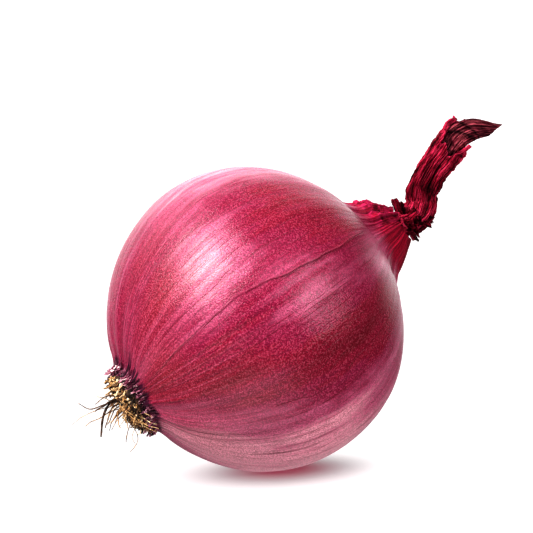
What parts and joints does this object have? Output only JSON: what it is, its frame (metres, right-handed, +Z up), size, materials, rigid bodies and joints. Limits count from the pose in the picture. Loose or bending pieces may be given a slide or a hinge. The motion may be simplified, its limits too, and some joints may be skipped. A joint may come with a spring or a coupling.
{
  "type": "red onion",
  "caption": "Whole red onion lying on its side: round bulb in dry skin, twisted dry neck with a bent leaf, and a root plate with short dry roots.",
  "frame": {"origin": "centre of the small flat spot on the bulb's underside that the onion rests on", "axes": "+Z up, away from the surface; +X the way the neck leans, away from the roots"},
  "size_m": [0.109, 0.076, 0.0853],
  "materials": {
    "bulb_skin": "satin gloss, fine lengthwise veins",
    "dry_neck": "dry, papery, deeply creased",
    "dry_leaf": "dry, ribbed",
    "roots": "matt, fibrous"
  },
  "bodies": {
    "root": {"bulb": "bulb_skin", "neck_sheath": "dry_neck", "dry_leaf": "dry_leaf", "root_plate": "roots"}
  },
  "joints": []
}
